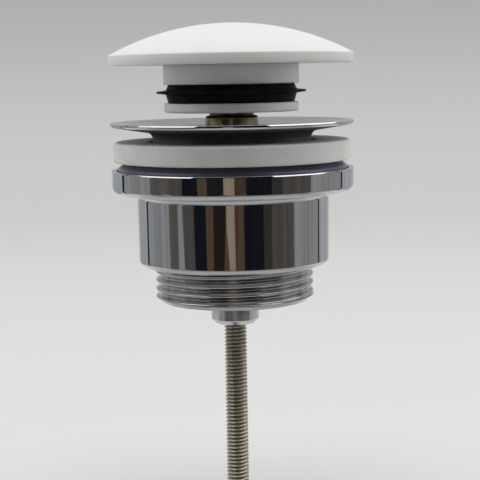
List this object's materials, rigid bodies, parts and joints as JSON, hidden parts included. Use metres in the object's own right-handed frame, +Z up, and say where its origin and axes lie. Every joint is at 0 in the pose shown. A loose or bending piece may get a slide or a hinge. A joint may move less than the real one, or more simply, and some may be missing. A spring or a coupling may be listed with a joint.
{
  "type": "pop up basin waste",
  "caption": "Push-to-open basin waste: domed white cap on a latching brass cartridge, chromed flange, and a chromed lower body that screws up a central rod to clamp the basin.",
  "frame": {"origin": "on the axis, at the top of the throat's straight wall under the flange", "axes": "+Z up along the axis, from the rod towards the cap; the follower pin lies along +X at rest"},
  "size_m": [0.0642, 0.0642, 0.1359],
  "materials": {
    "white_cap": "glossy white",
    "white_moulding": "satin white",
    "black_rubber": "satin black",
    "brass": "aged brass",
    "steel": "plain steel",
    "rod_steel": "dull plated steel",
    "chrome": "bright chrome plate",
    "pale_foam": "matte pale foam rubber",
    "dark_rubber": "satin blue-black"
  },
  "bodies": {
    "flange_assembly": {"flange": "chrome", "cartridge_housing": "brass", "housing_o_ring": "black_rubber", "hub_lock_nut": "brass", "housing_end_plug": "brass", "cam_post": "steel", "return_spring": "steel", "clamp_rod": "rod_steel"},
    "plug": {"cap": "white_cap", "plug_body": "white_moulding", "lip_seal": "black_rubber", "plug_insert": "brass", "plunger": "brass", "plunger_clip": "steel", "plunger_o_ring": "black_rubber"},
    "follower": {"follower_ring": "steel", "follower_pin": "steel"},
    "clamp_rings": {"basin_washer": "pale_foam", "taper_gasket": "dark_rubber"},
    "lower_body": {"lower_body": "chrome"}
  },
  "joints": [
    {"name": "plug_press", "type": "slide", "parent": "flange_assembly", "child": "plug", "axis": [0, 0, 1], "range_m": [-0.0135, 0], "stiffness_N_per_m": 700, "springref_m": 0.006, "deforming": ["return_spring"]},
    {"name": "follower_turn", "type": "hinge", "parent": "plug", "child": "follower", "pos_m": [0, 0, -0.0061], "axis": [0, 0, 1], "range_deg": [0, 31.1]},
    {"name": "clamp_lift", "type": "slide", "parent": "flange_assembly", "child": "clamp_rings", "axis": [0, 0, 1], "range_m": [-0.0401, 0.00151]},
    {"name": "clamp_turn", "type": "hinge", "parent": "clamp_rings", "child": "lower_body", "pos_m": [0, 0, -0.0357], "axis": [0, 0, 1], "range_deg": [-14400, 540]}
  ],
  "couplings": [
    {"joint": "follower_turn", "follows": "plug_press", "rad_per_m": -40.078},
    {"joint": "clamp_lift", "follows": "clamp_turn", "m_per_rad": 0.00015915}
  ]
}
